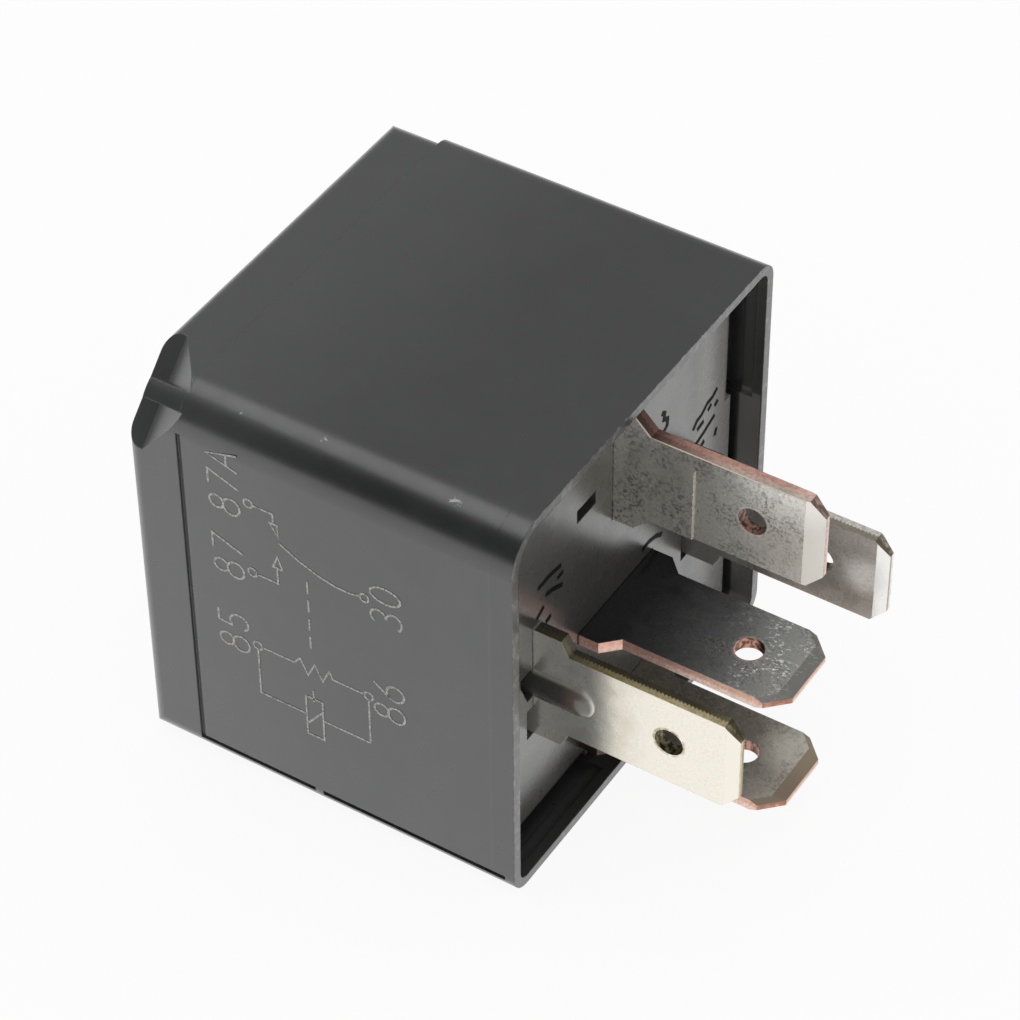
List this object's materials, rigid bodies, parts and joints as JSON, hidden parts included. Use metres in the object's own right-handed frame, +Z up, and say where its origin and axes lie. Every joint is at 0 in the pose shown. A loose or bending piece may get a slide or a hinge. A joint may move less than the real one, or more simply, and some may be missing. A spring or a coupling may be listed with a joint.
{
  "type": "automotive relay",
  "caption": "Cube-shaped plug-in changeover relay on its side: moulded cover, recessed base, five blade terminals, coil, hinged armature and contacts inside.",
  "frame": {"origin": "on the surface the relay lies on, below the middle of its whole length and width", "axes": "+X along the blades, +Z up as it lies, -Y the diagram face"},
  "size_m": [0.037, 0.028, 0.028],
  "materials": {
    "cover_plastic": "satin moulded",
    "base_plastic": "satin moulded",
    "tinned_copper": "tin plate over copper, bare copper at the cut edges",
    "tinned_brass": "tin plate over brass, bare brass at the cut edges",
    "plated_iron": "zinc plated",
    "bobbin_plastic": "natural",
    "enamelled_copper": "enamelled wire",
    "resistor_body": "lacquered",
    "tinned_wire": "bright",
    "rivet_metal": "dull",
    "spring_bronze": "rolled",
    "contact_silver": "bright"
  },
  "bodies": {
    "housing": {"cover": "cover_plastic", "base": "base_plastic", "terminal_30": "tinned_copper", "terminal_85": "tinned_brass", "terminal_86": "tinned_brass", "terminal_87": "tinned_copper", "terminal_87a": "tinned_copper", "yoke": "plated_iron", "core": "plated_iron", "bobbin": "bobbin_plastic", "coil_winding": "enamelled_copper", "coil_end_85": "enamelled_copper", "coil_end_86": "enamelled_copper", "resistor": "resistor_body", "resistor_lead_85": "tinned_wire", "resistor_lead_86": "tinned_wire", "root_rivet": "rivet_metal", "yoke_rivet_near": "rivet_metal", "yoke_rivet_far": "rivet_metal", "contact_no": "contact_silver", "contact_nc": "contact_silver"},
    "armature": {"armature": "plated_iron", "armature_rivet_near": "rivet_metal", "armature_rivet_far": "rivet_metal", "moving_contact": "contact_silver", "contact_spring": "spring_bronze"}
  },
  "joints": [
    {"name": "armature_hinge", "type": "hinge", "parent": "housing", "child": "armature", "pos_m": [-0.0118, 0, 0.02535], "axis": [0, -1, 0], "range_deg": [0, 2.9], "stiffness_Nm_per_rad": 0.02, "springref_deg": -8.59, "deforming": ["contact_spring"]}
  ]
}
